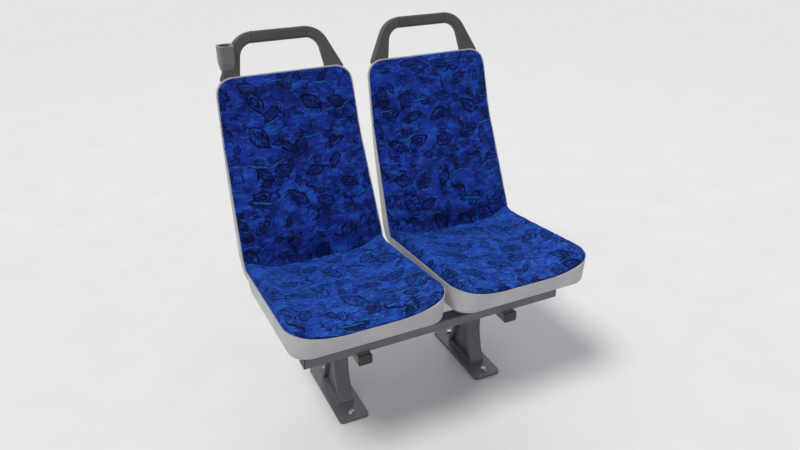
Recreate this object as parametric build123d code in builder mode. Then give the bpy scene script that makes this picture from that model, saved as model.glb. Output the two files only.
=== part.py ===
"""Twin passenger seat of a city bus.

Two moulded seats side by side on one floor-standing steel frame. Each seat has a pan and a
back shell moulded in light grey, a padded insert in each of them, and a grey loop handle above
the back. The aisle seat's handle carries a socket for a stanchion.

Sizes are in mm. +Z is up, the seats face -Y and the aisle is on the -X side. The origin is on
the floor, at the centre of the four floor bolts.
"""

import os
from math import cos, radians, sin, tan

from build123d import *

# Layout: the pan's rear rim above the floor, the widest of the back, the space between the pans
seat_height = 388
seat_half_width = 216
seat_gap = 12
rim_low_y = 112
floor_bolt_reach = 110

# Back shell: its rim is the front edge of its side walls
back_height = 525
back_lift = 4
back_top_taper = 18
back_foot_taper = 3
back_foot_bend = 54
back_top_corner = 48
back_foot_bend_radius = 90
rim_knee_drop = 182
rim_low_lean = 24
rim_top_lean = 14.5
shell_depth_top = 14
rear_knee_drop = 267
rear_low_lean = 20.5
rear_top_lean = 15
knee_radius = 500
shell_foot_radius = 40
shell_edge_radius = 9
shell_wall = 4
panel_low = 170
panel_top = 102
panel_margin = 34
panel_corner = 26
panel_depth = 1.5

# Seat pan: its rim rises towards the front and, beside a flat middle, towards both sides
pan_tuck = 24
pan_flat_half = 120
pan_side_rise = 33
pan_dish_radius = 300
pan_length = 444
pan_rake = 6.0
pan_rear_taper = 2
pan_front_flare = 3
pan_front_corner = 62
pan_rear_corner = 30
pan_depth = 46
pan_draft = 7
pan_edge_radius = 14
pan_hollow_edge = 6
pan_wall = 4

# Padded inserts
pad_clearance = 0.4
back_pad_proud = 6
back_pad_edge = 8.5
seat_pad_proud = 24
seat_pad_edge = 16
crease_gap = 0.6

# Loop handle, measured up the slope of the back from its top edge
handle_height = 113
handle_setback = 21
handle_taper = 57
handle_outer_radius = 71
handle_leg = 52
loop_taper = 15
loop_radius = 41
grip_height = 31
handle_front = 11
handle_rear = 13
handle_edge_radius = 7
handle_seat_gap = 0.4
handle_drop = 20
handle_foot_corner = 12
loop_sill = 5
plate_height = 74
plate_thickness = 9
plate_taper = 27
plate_corner = 22
grip_half_length = 79
grip_wall = 3.5
grip_clearance = 0.2
grip_seam = 0.8
grip_proud = 0.6
grip_corner = 4

# Stanchion socket
stanchion_radius = 16
stanchion_clearance = 0.15
socket_wall = 5.35
socket_setback = 23
socket_top = 82
socket_side_height = 46
socket_taper_height = 22
socket_taper = 12
socket_bore_depth = 42
socket_corner = 9
socket_clearance = 0.3
socket_web_setback = 6
socket_web_height = 32
socket_web_width = 30

# Steel frame
tube_width = 40
tube_height = 30
tube_wall = 2.5
tube_corner = 5
cap_thickness = 3
cap_plug = 12
cap_clearance = 0.3
front_tube_y = -200
rail_overhang = 8
foot_length = 280
foot_width = 90
foot_thickness = 8
foot_corner = 14
floor_bolt_radius = 5.5
pedestal_width = 44
pedestal_foot_half = 74
pedestal_waist_half = 42
pedestal_head_half = 132
pedestal_waist_z = 140
pedestal_lip = 10
pedestal_recess = 13
pedestal_rib = 10
saddle_offset = 90
saddle_width = 36
saddle_wall = 3
saddle_strip = 8
saddle_ramp = 12
saddle_foot = 12
upright_offset = 140
upright_width = 40
upright_depth = 10
upright_reach = 144
upright_corner = 14

# Worked out from the sizes above
back_low_z = seat_height + back_lift
back_top_z = back_low_z + back_height
back_foot_bend_z = back_low_z + back_foot_bend
back_top_half_width = seat_half_width - back_top_taper
back_foot_half_width = seat_half_width - back_foot_taper
rim_knee_z = back_top_z - rim_knee_drop
rear_knee_z = back_top_z - rear_knee_drop
rim_knee_y = rim_low_y + (rim_knee_z - back_low_z) * tan(radians(rim_low_lean))
rim_top_y = rim_knee_y + (back_top_z - rim_knee_z) * tan(radians(rim_top_lean))
rear_top_y = rim_top_y + shell_depth_top
rear_knee_y = rear_top_y - (back_top_z - rear_knee_z) * tan(radians(rear_top_lean))
rear_low_y = rear_knee_y - (rear_knee_z - back_low_z) * tan(radians(rear_low_lean))
shell_depth_low = rear_low_y - rim_low_y
pan_rear_y = rim_low_y + pan_tuck
pan_rear_half_width = seat_half_width - pan_rear_taper
pan_front_half_width = seat_half_width + pan_front_flare
seat_pitch = 2 * pan_front_half_width + seat_gap
handle_base_half_width = back_top_half_width - handle_setback
handle_top_half_width = handle_base_half_width - handle_taper
loop_base_half_width = handle_base_half_width - handle_leg
loop_top_half_width = loop_base_half_width - loop_taper
loop_height = handle_height - grip_height
plate_low_half_width = handle_base_half_width - plate_taper
socket_half_width = stanchion_radius + stanchion_clearance + socket_wall
socket_offset = handle_base_half_width - socket_setback
tube_top_z = seat_height - pan_depth / cos(radians(pan_rake)) - saddle_foot
cross_tube_z = tube_top_z - tube_height
rail_z = cross_tube_z - tube_height
cross_tube_half_length = seat_pitch / 2 + upright_offset + upright_width / 2
upright_top_z = back_low_z + upright_reach
upright_foot_y = rear_low_y - (back_low_z - tube_top_z) * tan(radians(rear_low_lean))
rear_tube_y = upright_foot_y + upright_depth / 2 / cos(radians(rear_low_lean))
rail_front_y = front_tube_y - tube_width / 2 - rail_overhang
rail_rear_y = rear_tube_y + tube_width / 2 + rail_overhang
socket_top_z = back_top_z + socket_top
socket_rise = socket_top / 2 * tan(radians(rear_top_lean))
socket_y = rear_top_y + socket_rise + (handle_rear - handle_front) / 2

# Planes: the pan's rim, the back's rear face below its top edge and above its foot
rim_plane = Plane(
    origin=(0, pan_rear_y, seat_height),
    x_dir=(1, 0, 0),
    z_dir=(0, sin(radians(pan_rake)), cos(radians(pan_rake))),
)
handle_plane = Plane(
    origin=(0, rear_top_y, back_top_z),
    x_dir=(1, 0, 0),
    z_dir=(0, -cos(radians(rear_top_lean)), sin(radians(rear_top_lean))),
)
upright_plane = Plane(
    origin=(0, rear_low_y, back_low_z),
    x_dir=(1, 0, 0),
    z_dir=(0, -cos(radians(rear_low_lean)), sin(radians(rear_low_lean))),
)


def closed_outline(corners):
    """A closed outline from (across, up, corner radius) rows."""
    with BuildSketch(mode=Mode.PRIVATE) as outline:
        with BuildLine():
            FilletPolyline(
                *[(across, up) for across, up, radius in corners],
                radius=[radius for across, up, radius in corners],
                close=True,
            )
        make_face()
    return outline.sketch


def mirrored(corners):
    """The right-hand corners, then the same on the left."""
    return corners + [(-across, up, radius) for across, up, radius in reversed(corners)]


def outer_edges(faces):
    """The edges round a group of faces, without those between two of them."""
    edges = faces.edges()
    return ShapeList(edge for edge in edges if edges.count(edge) == 1)


def back_block(inset, proud):
    """The back's sharp-edged block: inset from the shell's outside, proud of its rim."""
    rim_foot_y = rim_low_y + inset * tan(radians(rim_low_lean)) - proud
    side = [
        (rim_foot_y, back_low_z + inset, 0),
        (rear_low_y - inset, back_low_z + inset, shell_foot_radius - inset),
        (rear_knee_y - inset, rear_knee_z, knee_radius),
        (rear_top_y - inset, back_top_z, 0),
        (rim_top_y - proud, back_top_z, 0),
        (rim_knee_y - proud, rim_knee_z, knee_radius),
    ]
    front = [
        (back_foot_half_width - inset, back_low_z + inset, 0),
        (seat_half_width - inset, back_foot_bend_z, back_foot_bend_radius),
        (back_top_half_width - inset, back_top_z - inset, back_top_corner - inset),
    ]
    with BuildPart(mode=Mode.PRIVATE) as form:
        with BuildSketch(Plane.YZ):
            add(closed_outline(side))
        extrude(amount=2 * seat_half_width, both=True)
        with BuildSketch(Plane.XZ):
            add(closed_outline(mirrored(front)))
        extrude(amount=2 * rear_top_y, both=True, mode=Mode.INTERSECT)
    return form.part


def rear_edges(block):
    """The block's edges round its rear and foot, up to the rim."""
    rear_and_foot = block.faces().filter_by(
        lambda face: face.normal_at().Y > 0.5 or face.normal_at().Z < -0.7
    )
    rim = block.faces().filter_by(lambda face: face.normal_at().Y < -0.5)
    return [edge for edge in outer_edges(rear_and_foot) if edge not in rim.edges()]


def above_dish(proud):
    """The space above the pan's dished rim, or above a surface that stands proud of it."""
    reach = 2 * pan_front_half_width
    rise = pan_side_rise * (reach - pan_flat_half) / (pan_rear_half_width - pan_flat_half)
    section = [
        (pan_flat_half, proud, pan_dish_radius),
        (reach, proud + rise, 0),
        (reach, proud + 2 * rise, 0),
    ]
    with BuildPart(mode=Mode.PRIVATE) as space:
        with BuildSketch(Plane(rim_plane.origin, x_dir=(1, 0, 0), z_dir=-rim_plane.y_dir)):
            add(closed_outline(mirrored(section)))
        extrude(amount=2 * pan_length, both=True)
    return space.part


def bottom_edges(form):
    """The edges round the face that lies lowest under the pan's rim."""
    return form.faces().sort_by(Axis(rim_plane.origin, rim_plane.z_dir))[0].edges()


def pan_form(inset):
    """The pan's sharp-edged form below its highest rim, inset from its outside."""
    outline = [
        (pan_rear_half_width - inset, -inset, pan_rear_corner - inset),
        (pan_front_half_width - inset, inset - pan_length, pan_front_corner - inset),
    ]
    with BuildPart(mode=Mode.PRIVATE) as form:
        with BuildSketch(rim_plane.offset(pan_side_rise)):
            add(closed_outline(mirrored(outline)))
        extrude(amount=inset - pan_depth - pan_side_rise, taper=pan_draft)
    return form.part


panel_outline = [
    (back_foot_half_width - panel_margin, back_low_z + panel_low, panel_corner),
    (back_top_half_width - panel_margin, back_top_z - panel_top, panel_corner),
]
with BuildPart() as panel_recess:
    with BuildSketch(Plane.XZ):
        add(closed_outline(mirrored(panel_outline)))
    extrude(amount=-2 * rear_top_y)
    add(back_block(panel_depth, rim_low_y), mode=Mode.SUBTRACT)

with BuildPart() as back_hollow:
    add(back_block(shell_wall, shell_depth_low))
    chamfer(rear_edges(back_hollow), shell_edge_radius - shell_wall)

with BuildPart() as back_shell:
    add(back_block(0, 0))
    fillet(rear_edges(back_shell), shell_edge_radius)
    add(back_hollow.part, mode=Mode.SUBTRACT)
    add(panel_recess.part, mode=Mode.SUBTRACT)

back_pad_inset = shell_wall + pad_clearance
back_pad_rear_edge = shell_edge_radius - shell_wall
with BuildPart() as back_pad:
    add(back_block(back_pad_inset, back_pad_proud))
    chamfer(rear_edges(back_pad), back_pad_rear_edge)
    front = back_pad.faces().filter_by(lambda face: face.normal_at().Y < -0.5)
    fillet(outer_edges(front), min(back_pad_edge, 1.7 * back_pad_rear_edge))

with BuildPart() as pan_hollow:
    add(pan_form(pan_wall))
    chamfer(bottom_edges(pan_hollow), pan_hollow_edge)

with BuildPart() as seat_pan:
    add(pan_form(0))
    fillet(bottom_edges(seat_pan), pan_edge_radius)
    add(pan_hollow.part, mode=Mode.SUBTRACT)
    add(above_dish(0), mode=Mode.SUBTRACT)
    add(back_block(-crease_gap, crease_gap), mode=Mode.SUBTRACT)
    add(
        back_block(back_pad_inset - crease_gap, back_pad_proud + crease_gap), mode=Mode.SUBTRACT
    )

seat_pad_inset = pan_wall + pad_clearance
seat_pad_front = seat_pad_inset + pan_side_rise * tan(radians(pan_draft))
seat_pad_outline = [
    (pan_rear_half_width - seat_pad_inset, 0, 0),
    (
        pan_front_half_width - seat_pad_inset,
        seat_pad_front - pan_length,
        pan_front_corner - seat_pad_inset,
    ),
]
crease_y = rim_low_y - back_pad_proud - crease_gap
crease_height = 2 * (seat_pad_proud + pan_side_rise)
crease_rear_y = pan_rear_y + crease_height
crease_outline = [
    (crease_y, back_low_z - crease_gap, 0),
    (crease_rear_y, back_low_z - crease_gap, 0),
    (crease_rear_y, back_low_z + crease_height, 0),
    (crease_y + crease_height * tan(radians(rim_low_lean)), back_low_z + crease_height, 0),
]
with BuildPart() as lower_pad:
    add(pan_form(seat_pad_inset))
    chamfer(bottom_edges(lower_pad), pan_hollow_edge)
    add(above_dish(0), mode=Mode.SUBTRACT)

with BuildPart() as seat_pad:
    with BuildSketch(rim_plane):
        add(closed_outline(mirrored(seat_pad_outline)))
    extrude(amount=crease_height)
    add(above_dish(seat_pad_proud), mode=Mode.SUBTRACT)
    top = seat_pad.faces().filter_by(
        lambda face: face.normal_at().Z > 0.7 and face.center().Z > seat_height + 5
    )
    fillet([edge for edge in outer_edges(top) if edge.center().Y < crease_y], seat_pad_edge)
    add(above_dish(0), mode=Mode.INTERSECT)
    add(lower_pad.part)
    with BuildSketch(Plane.YZ):
        add(closed_outline(crease_outline))
    extrude(amount=2 * pan_front_half_width, both=True, mode=Mode.SUBTRACT)


def socket_form(clearance):
    """The socket's outer block, upright, with its sides drawn in below."""
    across = 2 * (socket_half_width + clearance)
    with BuildPart(mode=Mode.PRIVATE) as form:
        with BuildSketch(Plane.XY.offset(socket_top_z)):
            with Locations((-socket_offset, socket_y)):
                RectangleRounded(across, across, socket_corner + clearance)
        extrude(amount=-socket_side_height)
        extrude(
            form.faces().sort_by(Axis.Z)[0],
            amount=socket_taper_height + clearance,
            taper=socket_taper,
        )
    return form.part


grip_plane = Plane(
    origin=handle_plane.from_local_coords(
        (0, handle_height - grip_height / 2, (handle_front - handle_rear) / 2)
    ),
    x_dir=handle_plane.y_dir,
    z_dir=(1, 0, 0),
)
bar_depth = handle_front + handle_rear
leg_slope = (handle_base_half_width - handle_top_half_width) / handle_height
loop_outline = [
    (handle_base_half_width + handle_drop * leg_slope, -handle_drop, handle_foot_corner),
    (handle_top_half_width, handle_height, handle_outer_radius),
]
opening_outline = [
    (loop_base_half_width, -loop_sill, loop_sill),
    (loop_top_half_width, loop_height, loop_radius),
]
plate_outline = [
    (plate_low_half_width, -plate_height, plate_corner),
    (handle_base_half_width, -handle_drop, 0),
    (handle_base_half_width, -loop_sill - handle_edge_radius, 0),
]
with BuildPart() as handle:
    with BuildSketch(handle_plane.offset(-handle_rear)):
        add(closed_outline(mirrored(loop_outline)))
        add(closed_outline(mirrored(opening_outline)), mode=Mode.SUBTRACT)
    extrude(amount=bar_depth)
    slope_axis = Axis(handle_plane.origin, handle_plane.z_dir)
    by_depth = handle.faces().filter_by(slope_axis).sort_by(slope_axis)
    fillet(by_depth[0].edges() + by_depth[-1].edges(), handle_edge_radius)
    with BuildSketch(handle_plane.offset(-plate_thickness)):
        add(closed_outline(mirrored(plate_outline)))
    extrude(amount=plate_thickness)
    add(back_block(-handle_seat_gap, 0), mode=Mode.SUBTRACT)
    with BuildSketch(grip_plane):
        Rectangle(2 * grip_height, 2 * bar_depth)
        RectangleRounded(
            grip_height - 2 * grip_wall, bar_depth - 2 * grip_wall, grip_corner, mode=Mode.SUBTRACT
        )
    extrude(amount=grip_half_length + grip_seam, both=True, mode=Mode.SUBTRACT)

with BuildPart() as handle_grip:
    with BuildSketch(grip_plane):
        RectangleRounded(
            grip_height + 2 * grip_proud,
            bar_depth + 2 * grip_proud,
            handle_edge_radius + grip_proud,
        )
        RectangleRounded(
            grip_height - 2 * grip_wall + 2 * grip_clearance,
            bar_depth - 2 * grip_wall + 2 * grip_clearance,
            grip_corner + grip_clearance,
            mode=Mode.SUBTRACT,
        )
    extrude(amount=grip_half_length, both=True)

socket_web_outer = handle_base_half_width - socket_web_setback
socket_web_inner = socket_web_outer - socket_web_width
with BuildPart() as socket_web:
    with BuildSketch(handle_plane.offset(-handle_rear)):
        with Locations(((-socket_web_outer - socket_web_inner) / 2, 0)):
            Rectangle(socket_web_width, 2 * socket_web_height)
    extrude(amount=bar_depth)
    outer_face = socket_web.faces().sort_by(Axis.X)[0]
    fillet(outer_face.edges().filter_by(Axis((0, 0, 0), handle_plane.y_dir)), handle_edge_radius)
    add(back_block(-handle_seat_gap, 0), mode=Mode.SUBTRACT)

with BuildPart() as socket_handle:
    add(handle.part)
    add(socket_web.part)
    add(socket_form(socket_clearance), mode=Mode.SUBTRACT)

with BuildPart() as stanchion_socket:
    add(socket_form(0))
    with Locations((-socket_offset, socket_y, socket_top_z)):
        Hole(stanchion_radius + stanchion_clearance, depth=socket_bore_depth)


def tube_section():
    """The wall of the frame's rectangular tube, across by up."""
    with BuildSketch(mode=Mode.PRIVATE) as section:
        RectangleRounded(tube_width, tube_height, tube_corner)
        RectangleRounded(
            tube_width - 2 * tube_wall,
            tube_height - 2 * tube_wall,
            tube_corner - tube_wall,
            mode=Mode.SUBTRACT,
        )
    return section.sketch


def tube_cap(plane):
    """A cap on a tube's end, on the plane of that end, with a plug that points back into it."""
    bore_loss = 2 * (tube_wall + cap_clearance)
    with BuildPart(mode=Mode.PRIVATE) as cap:
        with BuildSketch(plane):
            RectangleRounded(tube_width, tube_height, tube_corner)
        extrude(amount=cap_thickness)
        with BuildSketch(plane):
            plug = Rectangle(tube_width - bore_loss, tube_height - bore_loss)
            chamfer(plug.vertices(), tube_corner - tube_wall)
        extrude(amount=-cap_plug)
    return cap.part


def tube_between(end_plane, length):
    """A tube that runs back from the plane of its end."""
    with BuildPart(mode=Mode.PRIVATE) as tube:
        with BuildSketch(end_plane):
            add(tube_section())
        extrude(amount=-length)
    return tube.part


def cross_end(y, side):
    """The plane of a cross tube's end, facing out on the side given as 1 or -1."""
    centre = (side * cross_tube_half_length, y, cross_tube_z + tube_height / 2)
    return Plane(origin=centre, x_dir=(0, 1, 0), z_dir=(side, 0, 0))


def rail_end(y, side):
    """The plane of a side rail's end, facing the rear as 1 or the front as -1."""
    centre = (0, y, rail_z + tube_height / 2)
    return Plane(origin=centre, x_dir=(1, 0, 0), z_dir=(0, side, 0))


with BuildPart() as front_cross_tube:
    add(tube_between(cross_end(front_tube_y, 1), 2 * cross_tube_half_length))

with BuildPart() as rear_cross_tube:
    add(tube_between(cross_end(rear_tube_y, 1), 2 * cross_tube_half_length))

with BuildPart() as cross_tube_caps:
    for tube_y in (front_tube_y, rear_tube_y):
        for side in (-1, 1):
            add(tube_cap(cross_end(tube_y, side)))

with BuildPart() as side_rail:
    add(tube_between(rail_end(rail_rear_y, 1), rail_rear_y - rail_front_y))

with BuildPart() as rail_caps:
    for end_y, side in ((rail_front_y, -1), (rail_rear_y, 1)):
        add(tube_cap(rail_end(end_y, side)))

with BuildPart() as foot_plate:
    with BuildSketch():
        RectangleRounded(foot_width, foot_length, foot_corner)
        with Locations((0, floor_bolt_reach), (0, -floor_bolt_reach)):
            Circle(floor_bolt_radius, mode=Mode.SUBTRACT)
    extrude(amount=foot_thickness)

with BuildPart() as pedestal:
    with BuildSketch(Plane.YZ) as pedestal_side:
        with BuildLine():
            waist = (pedestal_waist_half, pedestal_waist_z)
            foot = (pedestal_foot_half, foot_thickness + pedestal_lip)
            head = (pedestal_head_half, rail_z - pedestal_lip)
            Polyline((0, foot_thickness), (pedestal_foot_half, foot_thickness), foot)
            TangentArc(waist, foot, tangent=(0, -1))
            TangentArc(waist, head, tangent=(0, 1))
            Polyline(head, (pedestal_head_half, rail_z), (0, rail_z))
            mirror(about=Plane.YZ)
        make_face()
    extrude(amount=pedestal_width / 2, both=True)
    with BuildSketch(Plane.YZ) as recess:
        offset(pedestal_side.sketch_local, amount=-pedestal_rib)
    for side in (-1, 1):
        recess_start = side * (pedestal_width / 2 - pedestal_recess)
        extrude(
            recess.sketch.moved(Location((recess_start, 0, 0))),
            amount=pedestal_recess,
            dir=(side, 0, 0),
            mode=Mode.SUBTRACT,
        )


def pan_bottom_z(y):
    """The height of the pan's underside at a distance from front to rear."""
    rise = (pan_rear_y - y) * tan(radians(pan_rake))
    return seat_height + rise - pan_depth / cos(radians(pan_rake))


front_foot = (front_tube_y - tube_width / 2, front_tube_y + tube_width / 2)
rear_foot = (rear_tube_y - tube_width / 2, rear_tube_y + tube_width / 2)
strip_outline = [
    (front_foot[0], pan_bottom_z(front_foot[0]), 0),
    (rear_foot[1], pan_bottom_z(rear_foot[1]), 0),
    (rear_foot[1], tube_top_z, 0),
    (rear_foot[0], tube_top_z, 0),
    (rear_foot[0] - saddle_ramp, pan_bottom_z(rear_foot[0] - saddle_ramp) - saddle_strip, 0),
    (front_foot[0], pan_bottom_z(front_foot[0]) - saddle_strip, 0),
]
with BuildPart() as saddles:
    for side in (-1, 1):
        with BuildSketch(Plane.YZ.offset(side * saddle_offset)):
            add(closed_outline(strip_outline))
        extrude(amount=saddle_width / 2, both=True)
        with BuildSketch(Plane.YZ.offset(side * saddle_offset)):
            with Locations((0, -saddle_wall)):
                add(closed_outline(strip_outline))
        extrude(amount=saddle_width / 2 - saddle_wall, both=True, mode=Mode.SUBTRACT)

riser_outline = [
    (front_foot[0], pan_bottom_z(front_foot[0]) - saddle_strip, 0),
    (front_foot[1], pan_bottom_z(front_foot[1]) - saddle_strip, 0),
    (front_foot[1], tube_top_z, 0),
    (front_foot[0], tube_top_z, 0),
]
with BuildPart() as risers:
    for side in (-1, 1):
        with BuildSketch(Plane.YZ.offset(side * saddle_offset)) as riser_side:
            add(closed_outline(riser_outline))
            offset(amount=-saddle_wall, mode=Mode.SUBTRACT)
        extrude(amount=saddle_width / 2, both=True)

upright_end = (upright_top_z - back_low_z) / cos(radians(rear_low_lean))
upright_start = -2 * (back_low_z - tube_top_z)
with BuildPart() as uprights:
    with BuildSketch(upright_plane):
        for side in (-1, 1):
            upright_outline = [
                (side * upright_offset - upright_width / 2, upright_start, 0),
                (side * upright_offset + upright_width / 2, upright_start, 0),
                (side * upright_offset + upright_width / 2, upright_end, upright_corner),
                (side * upright_offset - upright_width / 2, upright_end, upright_corner),
            ]
            add(closed_outline(upright_outline))
    extrude(amount=-upright_depth)
    split(bisect_by=Plane.XY.offset(tube_top_z))


def write(piece, name):
    """Label a finished piece and write it under its own name."""
    piece.label = name
    export_step(piece, f"parts/{name}.step")


os.makedirs("parts", exist_ok=True)
shared = {
    "front_cross_tube": front_cross_tube,
    "rear_cross_tube": rear_cross_tube,
    "cross_tube_caps": cross_tube_caps,
}
for name, builder in shared.items():
    write(builder.part, name)

seats = {"aisle": -seat_pitch / 2, "window": seat_pitch / 2}
on_each_seat = {
    "foot_plate": foot_plate,
    "pedestal": pedestal,
    "side_rail": side_rail,
    "rail_caps": rail_caps,
    "saddles": saddles,
    "risers": risers,
    "uprights": uprights,
    "seat_pan": seat_pan,
    "seat_pad": seat_pad,
    "back_shell": back_shell,
    "back_pad": back_pad,
    "handle_grip": handle_grip,
}
for seat, centre_x in seats.items():
    for name, builder in on_each_seat.items():
        write(builder.part.moved(Location((centre_x, 0, 0))), f"{seat}_{name}")

on_aisle = Location((seats["aisle"], 0, 0))
write(socket_handle.part.moved(on_aisle), "aisle_handle")
write(stanchion_socket.part.moved(on_aisle), "stanchion_socket")
write(handle.part.moved(Location((seats["window"], 0, 0))), "window_handle")
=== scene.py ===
"""Looks for a twin passenger seat of a city bus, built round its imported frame."""
import math

import bmesh
import bpy
import numpy as np
from mathutils import Matrix, Vector


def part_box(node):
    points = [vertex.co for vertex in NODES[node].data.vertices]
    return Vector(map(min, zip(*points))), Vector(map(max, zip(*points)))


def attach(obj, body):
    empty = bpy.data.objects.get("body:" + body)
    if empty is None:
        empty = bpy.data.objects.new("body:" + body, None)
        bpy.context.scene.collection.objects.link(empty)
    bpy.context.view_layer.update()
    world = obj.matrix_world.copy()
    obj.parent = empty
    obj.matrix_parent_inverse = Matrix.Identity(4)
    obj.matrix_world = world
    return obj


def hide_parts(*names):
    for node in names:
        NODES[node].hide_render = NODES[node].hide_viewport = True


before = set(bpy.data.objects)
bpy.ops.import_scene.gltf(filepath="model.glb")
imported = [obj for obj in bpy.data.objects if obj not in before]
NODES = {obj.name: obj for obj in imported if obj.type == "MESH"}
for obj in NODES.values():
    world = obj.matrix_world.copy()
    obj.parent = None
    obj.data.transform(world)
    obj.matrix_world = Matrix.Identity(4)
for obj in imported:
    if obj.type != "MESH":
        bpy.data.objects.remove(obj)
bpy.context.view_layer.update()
scene = bpy.context.scene

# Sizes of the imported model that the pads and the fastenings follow, in metres. X runs across the
# pair and the seats face -Y. A pair of numbers in brackets is a place (y, z).
SEATS = {"aisle": -0.225, "window": 0.225}

# The back shell's rim leans one way below its knee and another way above it
RIM_LOW = (0.112, 0.392)
RIM_KNEE_Z = 0.735
RIM_LOW_LEAN, RIM_TOP_LEAN = math.radians(24), math.radians(14.5)
BACK_TOP_Z, BACK_TOP_CORNER, BACK_PROUD = 0.917, 0.048, 0.006

# The back shell's rear face, and how far the uprights on it are from a seat's middle
REAR_TOP, REAR_TOP_LEAN = (0.3258, 0.917), math.radians(15)
REAR_LOW, REAR_LOW_LEAN = (0.1578, 0.392), math.radians(20.5)
UPRIGHTS_X = (-0.14, 0.14)

# The pan: its rim is flat in the middle and rises to both sides, and its walls draw in downwards
PAN_REAR = (0.136, 0.388)
PAN_RAKE, PAN_LENGTH, PAN_FRONT_CORNER = math.radians(6), 0.444, 0.062
PAN_FLAT_HALF, PAN_SIDE_RISE, PAN_BEND = 0.120, 0.033, 0.300
PAN_SLOPE = PAN_SIDE_RISE / 0.094
PAN_DRAFT, SEAT_PROUD = math.radians(7), 0.024

# Outside half widths of the back shell at three heights, and of the pan at its rear and its front
BACK_HEIGHTS, BACK_HALF_WIDTHS = [0.392, 0.446, 0.917], [0.213, 0.216, 0.198]
PAN_HALF_WIDTHS = [0.214, 0.219]


# Materials

class Num:
    """A node socket that can be added, multiplied and compared like a number."""

    def __init__(self, graph, socket):
        self.graph, self.socket = graph, socket

    def __add__(self, other):
        return self.graph.math("ADD", self, other)

    __radd__ = __add__

    def __sub__(self, other):
        return self.graph.math("SUBTRACT", self, other)

    def __rsub__(self, other):
        return self.graph.math("SUBTRACT", other, self)

    def __mul__(self, other):
        return self.graph.math("MULTIPLY", self, other)

    def __truediv__(self, other):
        return self.graph.math("DIVIDE", self, other)

    def __abs__(self):
        return self.graph.math("ABSOLUTE", self)

    def fract(self):
        return self.graph.math("FRACT", self)

    def sin(self):
        return self.graph.math("SINE", self)

    def max(self, other):
        return self.graph.math("MAXIMUM", self, other)

    def above(self, level, soft=0.01):
        """1 above the level and 0 below it, with a soft edge."""
        return self.graph.span(self, level - soft, level + soft)

    def under(self, level, soft=0.01):
        return 1 - self.above(level, soft)

    def between(self, low, high):
        return self.above(low) * self.under(high)


class Graph:
    """Short calls for the nodes of one material, or of the world."""

    def __init__(self, owner):
        owner.use_nodes = True
        self.owner, self.tree = owner, owner.node_tree
        self.tree.nodes.clear()

    def node(self, kind, inputs=None, **props):
        made = self.tree.nodes.new("ShaderNode" + kind)
        for key, value in props.items():
            setattr(made, key, value)
        for key, value in (inputs or {}).items():
            self.join(value, made.inputs[key])
        return made

    def join(self, value, socket):
        value = value.socket if isinstance(value, Num) else value
        if isinstance(value, bpy.types.NodeSocket):
            self.tree.links.new(value, socket)
        else:
            socket.default_value = value

    def num(self, node, output=0):
        return Num(self, node.outputs[output])

    def math(self, operation, *values):
        return self.num(self.node("Math", dict(enumerate(values)), operation=operation))

    def vector(self, operation, *values, **inputs):
        """What comes out of a vector operation, as a vector."""
        inputs = {**dict(enumerate(values)), **inputs}
        return self.node("VectorMath", inputs, operation=operation).outputs[0]

    def span(self, value, low, high, to_low=0.0, to_high=1.0):
        """The value's way from low to high, eased, as a number from to_low to to_high."""
        ranged = {0: value, 1: low, 2: high, 3: to_low, 4: to_high}
        return self.num(self.node("MapRange", ranged, interpolation_type="SMOOTHSTEP"))

    def mix(self, factor, first, second):
        mixed = {0: factor, 6: first, 7: second}
        return self.node("Mix", mixed, data_type="RGBA").outputs[2]

    def tinted(self, colour, tint, value, low, high, most=1.0):
        """The colour, turned towards the tint as the value goes from low to high."""
        return self.mix(self.span(value, low, high, 0, most), colour, tint)

    def noise(self, vector, scale, detail=2.0, rough=0.5, output=0, **inputs):
        inputs = {"Vector": vector, "Scale": scale, "Detail": detail, "Roughness": rough, **inputs}
        return self.num(self.node("TexNoise", inputs), output)

    def mapped(self, vector, move=(0, 0, 0), scale=(1, 1, 1)):
        """The vector, scaled and then moved."""
        return self.node("Mapping", {0: vector, 1: move, 3: scale}).outputs[0]

    def place(self):
        """Where a point is on the object, in metres."""
        return self.node("TexCoord").outputs["Object"]

    def upward(self):
        """How far a face looks up: 1 where it is level and 0 where it is upright."""
        normal = self.node("NewGeometry").outputs["Normal"]
        return self.num(self.node("SeparateXYZ", {0: normal}), 2)

    def bump(self, height, distance, strength=1.0):
        inputs = {"Height": height, "Distance": distance, "Strength": strength}
        return self.node("Bump", inputs).outputs[0]

    def finish(self, colour, roughness, normal, **sockets):
        """Ends a material in a shader, whose further sockets are given by name."""
        inputs = {"Base Color": colour, "Roughness": roughness, "Normal": normal}
        inputs.update({key.replace("_", " "): value for key, value in sockets.items()})
        shader = self.node("BsdfPrincipled", inputs)
        self.node("OutputMaterial", {0: shader.outputs[0]})
        return self.owner


def new_material(name):
    return Graph(bpy.data.materials.new(name))


def rgb(red, green, blue):
    """A colour from its 0 to 255 screen values."""
    linear = [((c / 255 + 0.055) / 1.055) ** 2.4 if c > 10 else c / 255 / 12.92
              for c in (red, green, blue)]
    return (*linear, 1.0)


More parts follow.
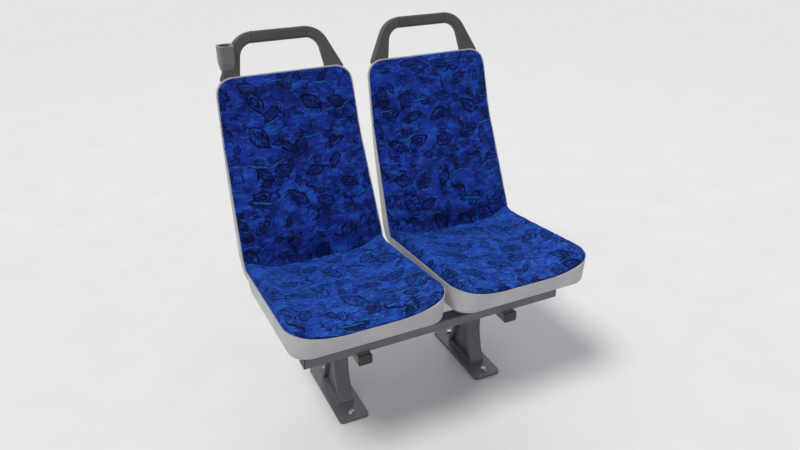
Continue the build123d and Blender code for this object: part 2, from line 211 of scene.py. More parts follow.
def moulded(name, pale, dark, dust, grain, rough):
    """Moulded plastic: spark-eroded grain, rubbed patches, dust that settles on ledges."""
    g = new_material(name)
    place = g.place()
    colour = g.tinted(dark, pale, g.noise(place, 7, 4, 0.6), 0.35, 0.7)
    streak = g.noise(g.mapped(place, scale=(60, 60, 9)), 1, 3)
    colour = g.tinted(colour, dark, streak, 0.58, 0.8, 0.12)
    colour = g.tinted(colour, pale, g.noise(place, 420, 1), 0.62, 0.75, 0.10)
    settled = g.upward().above(0.75, 0.2) * g.span(g.noise(place, 30, 4), 0.35, 0.75, 0.1, 0.5)
    colour = g.mix(settled, colour, dust)
    rubbed = g.noise(place, 16, 5, 0.65)
    roughness = g.span(rubbed, 0.3, 0.7, rough - 0.08, rough + 0.09)
    fine = g.noise(place, 1500, 2, 0.7)
    pits = g.num(g.node("TexVoronoi", {"Vector": place, "Scale": 900}))
    return g.finish(colour, roughness, g.bump(fine * 0.7 + pits * 0.3, grain))


def painted(name, tint, worn, rough):
    """Powder coat: orange peel, cloudy wear and long scuffs."""
    g = new_material(name)
    place = g.place()
    cloud = g.noise(place, 11, 4, 0.6)
    colour = g.tinted(tint, worn, cloud, 0.35, 0.7, 0.5)
    scuff = g.noise(g.mapped(place, scale=(40, 160, 160)), 1, 4, 0.7)
    colour = g.tinted(colour, worn, scuff, 0.66, 0.72, 0.7)
    peel = g.bump(g.noise(place, 420, 2), 0.0004, 0.6)
    return g.finish(colour, g.span(cloud, 0.3, 0.7, rough, rough + 0.14), peel)


def bare_steel(name, tint, dull):
    """Zinc-plated fastenings."""
    g = new_material(name)
    place = g.place()
    cloud = g.noise(place, 130, 3, 0.6)
    colour = g.tinted(tint, dull, cloud, 0.35, 0.7)
    normal = g.bump(g.noise(place, 1800, 2), 0.0002, 0.5)
    return g.finish(colour, g.span(cloud, 0.3, 0.7, 0.28, 0.5), normal, Metallic=0.9)


def scattered(g, cloth, cell, offset, loose, swing):
    """Turned local coordinates and two random numbers in the cells of a loose grid on the cloth.

    A cell is about as wide as cell says, in metres. The grid is true where loose is 0, and swing
    is the whole range of the turns. What stands in a cell differs in size, too.
    """
    placed = g.mapped(cloth, offset, (1 / cell,) * 3)
    cells = g.node("TexVoronoi", {"Vector": placed, "Scale": 1.0, "Randomness": loose},
                   voronoi_dimensions="2D")
    local = g.vector("SUBTRACT", placed, cells.outputs["Position"])
    chance = g.node("SeparateColor", {0: cells.outputs["Color"]})
    angle = (g.num(chance, 0) - 0.5) * swing
    turned = g.node("VectorRotate", {"Vector": local, "Angle": angle}, rotation_type="Z_AXIS")
    growth = 1.2 - g.num(chance, 1) * g.num(chance, 0) * 0.5
    axes = g.node("SeparateXYZ", {0: g.vector("SCALE", turned.outputs[0], Scale=growth)})
    return g.num(axes, 0), g.num(axes, 1), g.num(chance, 1), g.num(chance, 2)


def tapered(x, reach):
    """1 in the middle of a motif and 0 at both of its ends."""
    return 1 - (x / reach) * (x / reach)


def leaf_lines(x, y, width, reach, line):
    """A pointed leaf drawn in line: outline, midrib and side veins."""
    taper = tapered(x, reach)
    inside = abs(y) - width * taper
    outline = abs(inside).under(line, 0.014) * taper.above(-0.12, 0.04)
    rib = abs(y).under(line * 0.55, 0.012) * taper.above(0.02, 0.02)
    vein = abs((x * 8 - abs(y) * 7).fract() - 0.5).under(0.17, 0.08)
    return outline.max(rib).max(vein * inside.under(0) * 0.8)


def ring_lines(x, y, long, short):
    """An oval with a ring in it."""
    squared = (x / long) * (x / long) + (y / short) * (y / short)
    return abs(squared - 1).under(0.30, 0.12).max(abs(squared - 0.22).under(0.13, 0.07))


def curl_lines(x, y, line):
    """A short waved stroke that thins towards its ends."""
    taper = tapered(x, 0.42)
    return (abs(y - (x * 11).sin() * 0.07) - taper * line).under(0, 0.014) * taper.above(0, 0.03)


def cloth_ground(g, cloth):
    """Royal blue with clouds, ripples and dark washes, and painted light on faces that look up."""
    colour = g.tinted(rgb(25, 37, 114), rgb(35, 60, 172), g.noise(cloth, 15, 5, 0.62), 0.38, 0.58)
    pale = g.noise(g.mapped(cloth, (5, 5, 0), (1, 1.6, 1)), 24, 4, 0.62, Distortion=0.5)
    colour = g.tinted(colour, rgb(42, 94, 206), pale, 0.50, 0.62, 0.75)
    ripple = g.noise(g.mapped(cloth, (6, 1, 0), (1, 3.2, 1)), 26, 4, 0.6, Distortion=0.5)
    colour = g.tinted(colour, rgb(40, 106, 216), ripple, 0.55, 0.64, 0.6)
    wash = g.noise(g.mapped(cloth, (3.1, 1.7, 0)), 11, 3, 0.5)
    colour = g.tinted(colour, rgb(13, 22, 80), wash, 0.54, 0.68, 0.5)
    # Painted light: faces that look up are turned paler blue, as if lit from above
    painted_top_light = g.span(g.upward(), 0.6, 0.9)
    colour = g.mix(painted_top_light * 0.22, colour, rgb(48, 92, 214))
    # Painted highlight: pale cyan glint streaks on faces that look up
    painted_glints = g.noise(g.mapped(cloth, (4, 6, 0), (1, 3.4, 1)), 52, 3, 0.6, Distortion=0.4)
    return g.mix(g.span(painted_glints, 0.53, 0.64, 0, 0.6) * painted_top_light, colour, rgb(66, 146, 212))


def cloth_drawing(g, cloth, drawn):
    """How much ink is on the cloth: leaves, ovals and curls of two sizes, scrawls and blobs.

    Each kind of motif has its share of the cells, from a cell's first random number.
    """
    x, y, kind, chance = scattered(g, drawn, 0.086, (0.4, 0.2, 0), loose=0.8, swing=2.6)
    width, reach = 0.13 + chance * 0.12, 0.4
    large = leaf_lines(x, y, width, reach, line=0.034) * kind.under(0.74)
    large = large.max(ring_lines(x, y, long=0.30, short=0.16) * kind.between(0.74, 0.88))
    large = large.max(curl_lines(x, y, line=0.05) * kind.above(0.88))
    filled = (abs(y) - width * tapered(x, reach)).under(0, 0.02)
    large = large.max(filled * kind.between(0.2, 0.5) * 0.5)

    x, y, kind, chance = scattered(g, drawn, 0.055, (0.9, 0.55, 0), loose=0.9, swing=3.6)
    small = leaf_lines(x, y, 0.12 + chance * 0.1, reach=0.38, line=0.05) * kind.under(0.36)
    small = small.max(ring_lines(x, y, long=0.2, short=0.15) * kind.between(0.36, 0.5))
    small = small.max(curl_lines(x, y, line=0.06) * kind.above(0.5))

    scrawl = g.noise(g.mapped(cloth, (2, 9, 0), (1, 1.6, 1)), 30, 2, 0.5, Distortion=1.2)
    scrawl = abs((scrawl * 7).fract() - 0.5).under(0.11, 0.06)
    scrawl = scrawl * g.noise(g.mapped(cloth, (8, 3, 0)), 19, 1).above(0.47, 0.05)
    blob = g.noise(drawn, 40, 3, 0.55, Distortion=0.8).above(0.645, 0.03)
    broken = g.span(g.noise(cloth, 120, 2), 0.26, 0.42, 0.5, 1.0)
    return large.max(small * 0.9).max(scrawl * 0.8).max(blob * 0.95) * broken


def cloth_strokes(g, cloth, swept, colour):
    """The colour with long turquoise strokes on it, edged in ink, and a few reddish flecks."""
    x, y, kind, _ = scattered(g, swept, 0.115, (0.15, 0.8, 0), loose=0.8, swing=1.0)
    bow = y - (x * 6).sin() * 0.03
    body = tapered(x, 0.32)
    there = kind.above(0.5)
    stroke = (abs(bow) - body * 0.03).under(0, 0.016) * there
    lit = stroke * g.span(g.noise(g.mapped(cloth, (1, 1, 0), (1, 3, 1)), 90, 2), 0.38, 0.56)
    colour = g.mix(stroke * 0.5, colour, rgb(20, 74, 160))
    colour = g.mix(lit * 0.6, colour, rgb(34, 132, 196))
    edge = (abs(abs(bow) - body * 0.04) - 0.011).under(0, 0.012) * body.above(-0.05, 0.05)
    colour = g.mix(edge * there * 0.85, colour, rgb(5, 7, 28))
    fleck = g.noise(g.mapped(cloth, (7, 2, 0)), 74, 2)
    return g.tinted(colour, rgb(70, 38, 58), fleck, 0.70, 0.77, 0.45)


def moquette(name):
    """Royal blue moquette with a generic drawing of leaves, ovals and curls."""
    g = new_material(name)
    cloth = g.node("Attribute", attribute_name="cloth").outputs["Vector"]
    drift = g.vector("SUBTRACT", g.noise(cloth, 42, 3, 0.55, output="Color"), (0.5, 0.5, 0.5))
    drawn = g.vector("ADD", cloth, g.vector("SCALE", drift, Scale=0.022))
    swept = g.vector("ADD", cloth, g.vector("SCALE", drift, Scale=0.009))

    colour = cloth_ground(g, cloth)
    colour = g.mix(cloth_drawing(g, cloth, drawn) * 0.96, colour, rgb(4, 7, 30))
    colour = cloth_strokes(g, cloth, swept, colour)
    tuft = g.noise(cloth, 620, 2, 0.7)
    colour = g.tinted(colour, rgb(6, 8, 30), tuft, 0.3, 0.7, 0.36)
    colour = g.tinted(colour, rgb(52, 78, 152), g.noise(cloth, 6, 3), 0.5, 0.8, 0.12)
    rows = g.node("TexWave", {"Vector": cloth, "Scale": 210.0, "Distortion": 1.2,
                              "Detail": 1.0, "Detail Scale": 4.0}, bands_direction="Y")
    pile = g.bump(tuft * 0.8 + g.num(rows, 1) * 0.35, 0.0009, 0.75)
    return g.finish(colour, g.span(tuft, 0.3, 0.7, 0.78, 0.96), pile,
                    Sheen_Weight=0.6, Sheen_Roughness=0.45, Sheen_Tint=rgb(60, 124, 245),
                    Specular_IOR_Level=0.06)


# Pale and dark tint, settled dust, depth of the grain in metres, and roughness
PLASTICS = {
    "shell": (rgb(186, 186, 187), rgb(172, 173, 175), rgb(160, 157, 152), 0.0003, 0.46),
    "handle": (rgb(72, 71, 69), rgb(62, 61, 59), rgb(92, 90, 86), 0.0004, 0.5),
    "grip": (rgb(70, 69, 65), rgb(60, 59, 56), rgb(88, 86, 81), 0.0006, 0.58),
    # Painted light: the socket is the same plastic as the handle, made paler to stand in for light
    # falling on it
    "socket": (rgb(120, 120, 119), rgb(108, 108, 107), rgb(112, 111, 108), 0.0004, 0.5),
    "cap": (rgb(44, 44, 46), rgb(34, 34, 36), rgb(80, 78, 74), 0.0003, 0.5),
}
MATERIALS = {key: moulded(f"{key}_plastic", *row) for key, row in PLASTICS.items()}
MATERIALS["frame"] = painted("frame_paint", rgb(92, 95, 99), rgb(118, 119, 121), 0.42)
MATERIALS["cloth"] = moquette("moquette")
MATERIALS["steel"] = bare_steel("zinc_steel", rgb(170, 170, 166), rgb(128, 126, 118))

# By the last word of a node's name; all the other nodes are the painted frame
MATERIAL_KEYS = {"pan": "shell", "shell": "shell", "grip": "grip", "handle": "handle",
                 "socket": "socket", "caps": "cap", "pad": "cloth"}
for name, obj in NODES.items():
    key = MATERIAL_KEYS.get(name.split("_")[-1], "frame")
    obj.data.materials.clear()
    obj.data.materials.append(MATERIALS[key])


# Meshes

def coordinates(mesh):
    flat = np.empty(len(mesh.vertices) * 3)
    mesh.vertices.foreach_get("co", flat)
    return flat.reshape(-1, 3)


def set_coordinates(mesh, points):
    mesh.vertices.foreach_set("co", np.ascontiguousarray(points, dtype=np.float32).ravel())
    mesh.update()


def shade_smooth(mesh):
    for face in mesh.polygons:
        face.use_smooth = True


def mesh_from(name, made):
    """A new mesh from a bmesh, which is freed."""
    mesh = bpy.data.meshes.new(name)
    made.to_mesh(mesh)
    made.free()
    return mesh


def merge(made, other):
    """Moves what a second bmesh holds into the first."""
    mesh = mesh_from("part", other)
    made.from_mesh(mesh)
    bpy.data.meshes.remove(mesh)


def linked(name, data):
    """A new object in the scene."""
    obj = bpy.data.objects.new(name, data)
    scene.collection.objects.link(obj)
    return obj


def evaluated(piece):
    """The piece's mesh with its modifiers in it."""
    graph = bpy.context.evaluated_depsgraph_get()
    return bpy.data.meshes.new_from_object(piece.evaluated_get(graph))


def bake_modifiers(piece):
    mesh = evaluated(piece)
    piece.modifiers.clear()
    piece.data = mesh


def subdivide(piece):
    levels = piece.modifiers.new("fine", "SUBSURF")
    levels.levels = levels.render_levels = 1
    bake_modifiers(piece)


def smoothed(mesh, points, rounds):
    """The points after rounds of averaging with their neighbours."""
    edges = np.empty(len(mesh.edges) * 2, dtype=np.int64)
    mesh.edges.foreach_get("vertices", edges)
    first, second = edges.reshape(-1, 2).T
    count = np.bincount(edges, minlength=len(points))[:, None]
    for _ in range(rounds):
        total = np.zeros_like(points)
        np.add.at(total, first, points[second])
        np.add.at(total, second, points[first])
        points = points + 0.5 * (total / count - points)
    return points


def ramp(value, start, length):
    """0 up to the start, 1 from the length past it, and straight between them."""
    return np.clip((value - start) / length, 0, 1)


# Where points are on a seat

def front_y(z):
    """Where the front of a back pad's CAD solid is at a height."""
    low = np.minimum(z, RIM_KNEE_Z) - RIM_LOW[1]
    top = np.maximum(z, RIM_KNEE_Z) - RIM_KNEE_Z
    return RIM_LOW[0] - BACK_PROUD + low * math.tan(RIM_LOW_LEAN) + top * math.tan(RIM_TOP_LEAN)


def back_depth(points):
    """How far points are behind the back pad's front, and the way forward to it."""
    return points[:, 1] - front_y(points[:, 2]), np.array([0, -1.0, 0])


def seat_up():
    return np.array([0, math.sin(PAN_RAKE), math.cos(PAN_RAKE)])


def rim_rise(x):
    """How far the pan's rim rises above its flat middle, at a place across either seat."""
    across = np.abs(np.abs(x) - SEATS["window"])
    angle = math.atan(PAN_SLOPE)
    bent = across - PAN_FLAT_HALF + PAN_BEND * math.tan(angle / 2)
    arc = np.clip(bent, 0, PAN_BEND * math.sin(angle))
    return PAN_BEND - np.sqrt(PAN_BEND ** 2 - arc ** 2) + (bent - arc).clip(0) * PAN_SLOPE


def over_rim(points):
    """How high points are above the pan's dished rim."""
    return (points - [0, *PAN_REAR]) @ seat_up() - rim_rise(points[:, 0])


def seat_depth(points):
    """How far points are under the seat pad's top, and the way up to it."""
    return SEAT_PROUD - over_rim(points), seat_up()


# Pads

PAD_VOXEL = 0.006
PAD_GROWTH = 0.0016  # to each side, which the remesh and the smoothing take off again
SMOOTHING_ROUNDS = 4
CLOTH_PRESSURE, CLOTH_FRAMES = 4.0, 20

LIP_CENTRE = 0.22  # how far inside its free end a pad's edge is seen from, to measure it
LIP_SECTORS = 96  # in how many directions it is measured
LIP_WIDTH = 0.012  # how wide a strip of the pad is drawn out to lap over the rim
LIP_SHORT = 0.0024  # how far inside the shell's outside the lip ends
LIP_FOOT, LIP_RISE = 0.0002, 0.0015  # how far over the rim it starts, and how soon it is whole


def slab(name, node, depth_of, thickness, growth, cuts=()):
    """A pad's form from its CAD node, as even mesh, with only its front thickness kept.

    It is cut at some places across, so that it can bend there.
    """
    mesh = NODES[node].data.copy()
    cut = bmesh.new()
    cut.from_mesh(mesh)
    for x in cuts:
        bmesh.ops.bisect_plane(cut, geom=[*cut.verts, *cut.edges, *cut.faces],
                               plane_co=(x, 0, 0), plane_no=(1, 0, 0))
    cut.to_mesh(mesh)
    cut.free()
    points = coordinates(mesh)
    depth, forward = depth_of(points)
    points += np.clip(depth - thickness, 0, None)[:, None] * forward
    low, high = points.min(0), points.max(0)
    middle = (low + high) / 2
    points = middle + (points - middle) * (1 + 2 * np.array(growth) / (high - low))
    set_coordinates(mesh, points)
    piece = linked(name, mesh)
    remesh = piece.modifiers.new("even", "REMESH")
    remesh.mode, remesh.voxel_size, remesh.use_smooth_shade = "VOXEL", PAD_VOXEL, True
    smooth = piece.modifiers.new("smooth", "SMOOTH")
    smooth.factor, smooth.iterations = 0.5, 6
    bake_modifiers(piece)
    return piece


def swell(piece, held, cap):
    """Blows the pad up as cloth, with the held points fixed and no point moved past the cap."""
    rest = coordinates(piece.data).copy()
    group = piece.vertex_groups.new(name="held")
    group.add(np.nonzero(held)[0].tolist(), 1.0, "REPLACE")
    cloth = piece.modifiers.new("cloth", "CLOTH")
    settings = cloth.settings
    settings.use_pressure, settings.uniform_pressure_force = True, CLOTH_PRESSURE
    settings.effector_weights.gravity = 0
    settings.vertex_group_mass = "held"
    settings.quality = 5
    settings.tension_stiffness = settings.compression_stiffness = 12
    settings.bending_stiffness = 1.5
    cloth.point_cache.frame_start, cloth.point_cache.frame_end = 1, CLOTH_FRAMES
    for step in range(1, CLOTH_FRAMES + 1):
        scene.frame_set(step)
    moved = coordinates(evaluated(piece)).copy()
    scene.frame_set(1)
    piece.modifiers.clear()
    piece.vertex_groups.clear()
    shift = moved - rest
    length = np.linalg.norm(shift, axis=1, keepdims=True)
    length = np.maximum(length, 1e-9)
    return rest + shift / length * cap * np.tanh(length / cap)


def lipped(piece, across, ahead, half_width, corner, proud):
    """Widens a pad's sides and its free end, where they stand proud, to lap over the rim.

    ahead is how far points are past the free end, and half_width is the outside of the shell.
    """
    points = coordinates(piece.data)
    out_x = np.sign(across) * np.maximum(np.abs(across) - half_width + corner, 0)
    out_u = np.maximum(ahead + corner, 0)
    length = np.maximum(np.hypot(out_x, out_u), 1e-9)
    past = length - corner
    turn = np.arctan2(across, ahead + LIP_CENTRE)
    bounds = np.linspace(-math.pi, math.pi, LIP_SECTORS + 1)
    edge = np.full(LIP_SECTORS, -1.0)
    rim = proud > 0.5
    sector = np.clip(np.digitize(turn[rim], bounds) - 1, 0, LIP_SECTORS - 1)
    np.maximum.at(edge, sector, past[rim])
    known = edge > -LIP_WIDTH
    middle = (bounds[:-1] + bounds[1:])[known] / 2
    edge = np.convolve(np.pad(edge[known], 1, mode="edge"), [0.25, 0.5, 0.25], "valid")
    edge = np.interp(turn, middle, edge)
    share = np.clip((past - edge) / LIP_WIDTH + 1, 0, 1)
    share = (-LIP_SHORT - edge) * share * share * (3 - 2 * share) * proud / length
    return points, share * out_x, share * out_u


def make_back_pad():
    piece = slab("aisle_back_cushion", "aisle_back_pad", back_depth, thickness=0.020,
                 growth=(PAD_GROWTH, 0, PAD_GROWTH))
    rest = coordinates(piece.data)
    depth = back_depth(rest)[0]
    moved = swell(piece, held=depth > 0.007, cap=0.009)

    # A crown over the front, and no swelling where the seat pad meets the back pad
    half_wide, half_high, middle_z, crown_height, crown_depth = 0.205, 0.262, 0.655, 0.004, 0.006
    across = ramp(np.abs(rest[:, 0] - SEATS["aisle"]), 0, half_wide)
    up = ramp(np.abs(rest[:, 2] - middle_z), 0, half_high)
    crown = (1 - across ** 3) * (1 - up ** 4) * (1 - ramp(depth, 0, crown_depth))
    moved[:, 1] -= crown_height * crown
    held_below, eased_over = 0.425, 0.04
    free = ramp(moved[:, 2] - rim_rise(moved[:, 0]), held_below, eased_over)[:, None]
    moved = rest + (moved - rest) * free
    set_coordinates(piece.data, smoothed(piece.data, moved, SMOOTHING_ROUNDS))
    subdivide(piece)

    points = coordinates(piece.data)
    half_width = np.interp(points[:, 2], BACK_HEIGHTS, BACK_HALF_WIDTHS)
    proud = ramp(BACK_PROUD - LIP_FOOT - back_depth(points)[0], 0, LIP_RISE)
    points, out_x, out_z = lipped(piece, points[:, 0] - SEATS["aisle"], points[:, 2] - BACK_TOP_Z,
                                  half_width, BACK_TOP_CORNER, proud)
    points += np.stack([out_x, out_z * math.tan(RIM_TOP_LEAN), out_z], axis=1)
    set_coordinates(piece.data, points)
    return piece


def make_seat_pad():
    bends = (0.069, 0.089, 0.109, 0.129, 0.149, 0.169, 0.19)
    piece = slab("aisle_seat_cushion", "aisle_seat_pad", seat_depth, thickness=0.034,
                 growth=(PAD_GROWTH, PAD_GROWTH, 0),
                 cuts=[SEATS["aisle"] + side * x for side in (-1, 1) for x in bends])
    rest = coordinates(piece.data)
    depth = seat_depth(rest)[0]
    moved = swell(piece, held=depth > 0.026, cap=0.010)

    # The front rolls down
    roll_start, roll_length, roll_drop, roll_depth = 0.33, 0.11, 0.011, 0.02
    ahead = ramp(PAN_REAR[0] - rest[:, 1], roll_start, roll_length)
    moved -= (roll_drop * ahead ** 2 * (1 - ramp(depth, 0, roll_depth)))[:, None] * seat_up()
    moved = smoothed(piece.data, moved, SMOOTHING_ROUNDS)

    # The rear end is filled up to the back pad, and ends just before it
    gap, full_height = 0.0006, SEAT_PROUD - 0.0005
    near = 1 - ramp(front_y(moved[:, 2]) - moved[:, 1], 0, 0.03)
    top = over_rim(moved)
    lift = near ** 2 * np.clip(full_height - top, 0, 0.012) * (top > 0.008)
    moved += lift[:, None] * seat_up()
    moved[:, 1] += np.clip(front_y(moved[:, 2]) - moved[:, 1] - gap, 0, 0.006) * near
    moved[:, 1] = np.minimum(moved[:, 1], front_y(moved[:, 2]) - gap)
    set_coordinates(piece.data, moved)
    subdivide(piece)

    # The walls draw in below the rim's highest place, so the shell is narrower where it dips
    points = coordinates(piece.data)
    forward = np.array([0, -math.cos(PAN_RAKE), math.sin(PAN_RAKE)])
    along = (points - [0, *PAN_REAR]) @ forward
    inset = (PAN_SIDE_RISE - rim_rise(points[:, 0])) * math.tan(PAN_DRAFT)
    even = (PAN_SIDE_RISE * math.tan(PAN_DRAFT) - inset) * ramp(along, 0.35, 0.07)
    half_width = np.interp(along, [0, PAN_LENGTH], PAN_HALF_WIDTHS) - inset
    proud = ramp(over_rim(points), LIP_FOOT, LIP_RISE)
    points, out_x, out_u = lipped(piece, points[:, 0] - SEATS["aisle"],
                                  along + even - PAN_LENGTH + inset,
                                  half_width, PAN_FRONT_CORNER - inset, proud)
    points += (even + out_u)[:, None] * forward
    points[:, 0] += out_x
    set_coordinates(piece.data, points)
    return piece


def wrap(across, along, depth, out_across, out_along):
    """Flat cloth positions, where cloth that turns down over an edge carries on outwards.

    out_across and out_along are the normal's, and cloth that hardly leans is carried on less.
    """
    least_lean = 0.35
    size = np.hypot(out_across, out_along)
    share = np.clip(depth, 0, None) / np.maximum(size, least_lean)
    return np.stack([across + share * out_across, along + share * out_along,
                     np.zeros_like(across)], axis=1)


def back_place(points, normals, centre):
    depth = back_depth(points)[0]
    depth = depth - depth.min()
    over_knee = points[:, 2] - RIM_KNEE_Z
    lean = np.where(over_knee < 0, RIM_LOW_LEAN, RIM_TOP_LEAN)
    along = over_knee / np.cos(lean)
    out_along = normals[:, 2] * np.cos(lean) + normals[:, 1] * np.sin(lean)
    return wrap(points[:, 0] - centre, along, depth, normals[:, 0], out_along)


def seat_place(points, normals, centre):
    depth = seat_depth(points)[0]
    along = (points - [0, *PAN_REAR]) @ np.array([0, math.cos(PAN_RAKE), -math.sin(PAN_RAKE)])
    out_along = normals[:, 1] * math.cos(PAN_RAKE) - normals[:, 2] * math.sin(PAN_RAKE)
    return wrap(points[:, 0] - centre, along, depth, normals[:, 0], out_along)


def write_cloth(piece, place, centre, offset):
    """Writes where each point is on the flat cloth, in metres."""
    mesh = piece.data
    points = coordinates(mesh)
    normals = np.empty(len(points) * 3)
    mesh.vertices.foreach_get("normal", normals)
    spots = place(points, normals.reshape(-1, 3), centre) + offset
    layer = mesh.attributes.new("cloth", "FLOAT_VECTOR", "POINT")
    layer.data.foreach_set("vector", spots.astype(np.float32).ravel())


def copied(piece, name, shift):
    twin = linked(name, piece.data.copy())
    set_coordinates(twin.data, coordinates(twin.data) + [shift, 0, 0])
    return twin


def stand_in(piece, seat, node):
    """Finishes a pad and stands it in for its CAD node."""
    piece.data.materials.clear()
    piece.data.materials.append(MATERIALS["cloth"])
    shade_smooth(piece.data)
    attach(piece, "root")
    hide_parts(f"{seat}_{node}")


back_pads = {"aisle": make_back_pad()}
seat_pads = {"aisle": make_seat_pad()}
pitch = SEATS["window"] - SEATS["aisle"]
back_pads["window"] = copied(back_pads["aisle"], "window_back_cushion", pitch)
seat_pads["window"] = copied(seat_pads["aisle"], "window_seat_cushion", pitch)
for index, (seat, centre) in enumerate(SEATS.items()):
    # Each pad is cut from another place of the cloth
    write_cloth(back_pads[seat], back_place, centre, [0.71 * index + 0.3, 1.3, 0])
    stand_in(back_pads[seat], seat, "back_pad")
    write_cloth(seat_pads[seat], seat_place, centre, [0.53 * index + 0.9, 0.2, 0])
    stand_in(seat_pads[seat], seat, "seat_pad")


# Fastenings

# How far the handle's plate and the uprights stand off the back shell's rear face
HANDLE_PLATE_OUT, UPRIGHT_OUT = 0.0089, 0.0099

# Half the leg's width at its foot and at its top, and how far in from its foot's ends a weld is
LEG_FOOT_HALF, LEG_TOP_HALF, LEG_WELD_IN = 0.022, 0.0205, 0.058


def turned_profile(rings, sides=24):
    """A bmesh turned round +Z from (radius, height) rows, closed at both ends."""
    made = bmesh.new()
    loops = []
    for radius, height in rings:
        loops.append([made.verts.new((radius * math.cos(2 * math.pi * i / sides),
                                      radius * math.sin(2 * math.pi * i / sides), height))
                      for i in range(sides)])
    for lower, upper in zip(loops, loops[1:]):
        for i in range(sides):
            j = (i + 1) % sides
            made.faces.new((lower[i], lower[j], upper[j], upper[i]))
    made.faces.new(list(reversed(loops[0])))
    made.faces.new(loops[-1])
    return made


def hex_bolt(size):
    """A flanged hexagon bolt head on +Z for a thread of the given radius."""
    flange, flat = size * 1.9, size * 1.55
    made = turned_profile([(flange, 0), (flange, size * 0.22), (flange * 0.94, size * 0.32),
                           (flat * 0.98, size * 0.4)])
    merge(made, turned_profile([(flat, size * 0.36), (flat, size * 1.15),
                                (flat * 0.86, size * 1.32)], sides=6))
    return made


def dome_screw(size):
    """A low domed head with a round socket, on +Z, for a thread of the given radius."""
    made = turned_profile([(size * 1.75, 0), (size * 1.72, size * 0.3), (size * 1.5, size * 0.66),
                           (size * 1.15, size * 0.86), (size * 0.72, size * 0.92)])
    top = max(made.faces, key=lambda face: face.calc_center_median().z)
    bmesh.ops.inset_region(made, faces=[top], thickness=size * 0.06)
    bmesh.ops.translate(made, verts=top.verts, vec=(0, 0, -size * 0.5))
    return made


def weld_bead(size, length):
    """A rippled bead along X, laid in the corner of two faces."""
    made = bmesh.new()
    sides, ripple, ends = 8, 0.14, 0.35
    rows = max(int(length / size * 1.6), 6)
    loops = []
    for i in range(rows * 2 + 1):
        t = i / (rows * 2)
        fat = size * (1 - ripple + ripple * (i % 2)) * min(1, ends + 5 * min(t, 1 - t))
        loops.append([made.verts.new(((t - 0.5) * length + 0.12 * size * math.sin(a),
                                      fat * math.cos(a), fat * math.sin(a)))
                      for a in (2 * math.pi * k / sides for k in range(sides))])
    for lower, upper in zip(loops, loops[1:]):
        for k in range(sides):
            j = (k + 1) % sides
            made.faces.new((lower[k], upper[k], upper[j], lower[j]))
    made.faces.new(loops[0])
    made.faces.new(list(reversed(loops[-1])))
    return made


def spread(name, maker, size, spots, material="steel"):
    """One piece of many fastenings, whose size is the radius of the thread or the bead.

    Each spot is a place, its outward direction, a turn, and what else the maker needs.
    """
    made = bmesh.new()
    for place, outward, turn, *more in spots:
        one = maker(size, *more)
        facing = Vector(outward).to_track_quat("Z", "X").to_matrix().to_4x4()
        bmesh.ops.transform(one, matrix=Matrix.Translation(place) @ facing
                            @ Matrix.Rotation(turn, 4, "Z"), verts=one.verts)
        merge(made, one)
    mesh = mesh_from(name, made)
    shade_smooth(mesh)
    mesh.materials.append(MATERIALS[material])
    piece = linked(name, mesh)
    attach(piece, "root")
    edges = piece.modifiers.new("edges", "EDGE_SPLIT")
    edges.split_angle = math.radians(32)


def slope_spot(base, lean, centre, x, up, out):
    """A place up along and out from a leaning face of a shell, and the face's direction."""
    outward = Vector((0, math.cos(lean), -math.sin(lean)))
    along = Vector((0, math.sin(lean), math.cos(lean)))
    return Vector((centre + x, *base)) + along * up + outward * out, outward


def weld_lines(seat, centre):
    """The welds of one seat: the middle of each bead, its length, and 1 where it runs along Y."""
    foot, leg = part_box(f"{seat}_foot_plate")[1].z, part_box(f"{seat}_pedestal")
    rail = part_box(f"{seat}_side_rail")
    # Round the leg's foot, under the rail, beside the cross tubes and at the uprights' lower ends
    found = [((centre, y, foot), 0.036, 0)
             for y in (leg[0].y + LEG_WELD_IN, leg[1].y - LEG_WELD_IN)]
    found += [((centre + side * LEG_FOOT_HALF, 0, foot), 0.13, 1) for side in (-1, 1)]
    found += [((centre + side * LEG_TOP_HALF, y, rail[0].z), 0.05, 1)
              for side in (-1, 1) for y in (-0.09, 0, 0.09)]
    for tube in ("front_cross_tube", "rear_cross_tube"):
        low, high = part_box(tube)
        found += [((centre, y, rail[1].z), 0.03, 0) for y in (low.y, high.y)]
    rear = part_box("rear_cross_tube")[1]
    for x in UPRIGHTS_X:
        spot = slope_spot(REAR_LOW, REAR_LOW_LEAN, centre, x, up=0, out=0.010)[0]
        fall = (spot.z - rear.z) * math.tan(REAR_LOW_LEAN)
        found.append(((spot.x, spot.y - fall, rear.z), 0.036, 0))
    return found


for seat, centre in SEATS.items():
    # Each fastening is turned by another angle about its own axis, from its place
    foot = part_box(f"{seat}_foot_plate")
    spots = [((centre, y, foot[1].z), (0, 0, 1), y * 7) for y in (-0.11, 0.11)]
    spread(f"{seat}_floor_bolts", hex_bolt, 0.0055, spots)
    spots = [(*slope_spot(REAR_TOP, REAR_TOP_LEAN, centre, x, -0.046, HANDLE_PLATE_OUT), x * 9)
             for x in (-0.125, -0.045, 0.045, 0.125)]
    spread(f"{seat}_handle_screws", dome_screw, 0.0045, spots)
    spots = [(*slope_spot(REAR_LOW, REAR_LOW_LEAN, centre, x, up, UPRIGHT_OUT), x + up * 20)
             for x in UPRIGHTS_X for up in (0.045, 0.125)]
    spread(f"{seat}_upright_bolts", hex_bolt, 0.004, spots)
    spots = [((centre + x, (low.y + high.y) / 2, low.z), (0, 0, -1), x * 11)
             for x in (-0.09, 0.09)
             for low, high in (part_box("front_cross_tube"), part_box("rear_cross_tube"))]
    spread(f"{seat}_saddle_bolts", hex_bolt, 0.004, spots)
    spots = [(middle, (0, 0, 1), turn * math.pi / 2, length)
             for middle, length, turn in weld_lines(seat, centre)]
    spread(f"{seat}_welds", weld_bead, 0.0032, spots, material="frame")
low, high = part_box("stanchion_socket")
spots = [(((low.x + high.x) / 2, high.y - 0.0001, z), (0, 1, 0), z) for z in (0.964, 0.986)]
spread("socket_screws", dome_screw, 0.003, spots)


# Stage, light and camera

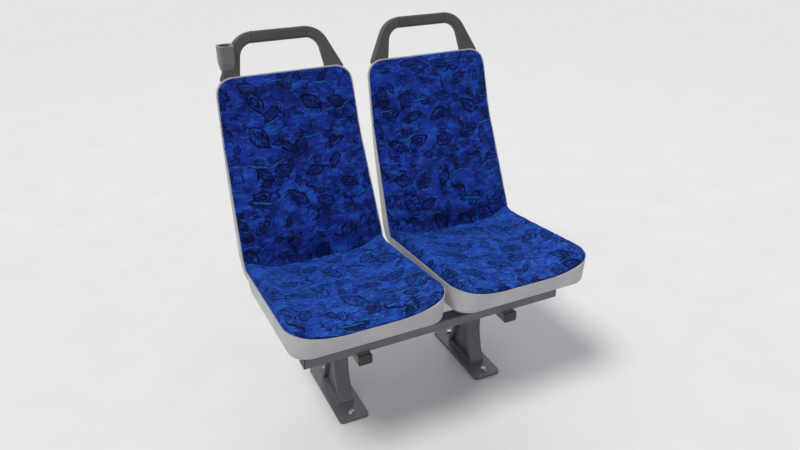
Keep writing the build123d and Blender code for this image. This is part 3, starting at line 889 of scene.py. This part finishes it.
BACKGROUND = rgb(228, 229, 230)


def floor(half_size, near, far):
    """A wide pale floor that turns into the background's own colour with distance."""
    made = bmesh.new()
    bmesh.ops.create_grid(made, x_segments=1, y_segments=1, size=half_size)
    mesh = mesh_from("floor", made)
    g = new_material("floor")
    place = g.place()
    colour = g.tinted(rgb(229, 229, 229), rgb(226, 226, 226), g.noise(place, 5, 3), 0.3, 0.7)
    grain = g.bump(g.noise(place, 260, 2), 0.0003, 0.3)
    plain = g.node("BsdfPrincipled", {"Base Color": colour, "Roughness": 0.85, "Normal": grain})
    glow = g.node("Emission", {0: BACKGROUND, 1: 1.0})
    away = g.num(g.node("VectorMath", {0: place}, operation="LENGTH"), 1)
    shaders = {0: g.span(away, near, far), 1: plain.outputs[0], 2: glow.outputs[0]}
    g.node("OutputMaterial", {0: g.node("MixShader", shaders).outputs[0]})
    mesh.materials.append(g.owner)
    obj = linked("floor", mesh)


def studio(light):
    """A world that lights the seat, and shows the background's colour to all other rays."""
    g = Graph(bpy.data.worlds.new("studio"))
    path = g.node("LightPath")
    shine = g.num(path, "Is Glossy Ray").max(g.num(path, "Is Transmission Ray"))
    seen = g.num(path, "Is Camera Ray").max(shine)
    lit = g.node("Background", {0: rgb(246, 249, 255), 1: light})
    shown = g.node("Background", {0: BACKGROUND, 1: 1.0})
    mixed = g.node("MixShader", {0: seen, 1: lit.outputs[0], 2: shown.outputs[0]})
    g.node("OutputWorld", {0: mixed.outputs[0]})
    scene.world = g.owner


def sun(name, place, power, spread_angle, colour):
    """A soft sun that shines from a place towards the origin."""
    data = bpy.data.lights.new(name, "SUN")
    data.energy, data.color, data.angle = power, colour, math.radians(spread_angle)
    linked(name, data).rotation_euler = Vector(place).to_track_quat("Z", "Y").to_euler()


floor(half_size=40, near=1.6, far=5.5)
studio(light=0.44)
sun("key", (-1.3, -0.35, 2.5), power=1.9, spread_angle=20, colour=(1.0, 0.98, 0.95))
sun("rear", (1.2, 2.0, 1.8), power=0.5, spread_angle=40, colour=(0.96, 0.98, 1.0))

camera_data = bpy.data.cameras.new("camera")
camera = linked("camera", camera_data)
scene.camera = camera
camera.location = (-0.786, -1.609, 1.459)
aim = Vector((0.0, 0.03, 0.51)) - camera.location
camera.rotation_euler = aim.to_track_quat("-Z", "Y").to_euler()
camera_data.lens = 32
camera_data.clip_start, camera_data.clip_end = 0.05, 60

scene.view_settings.view_transform = "Standard"
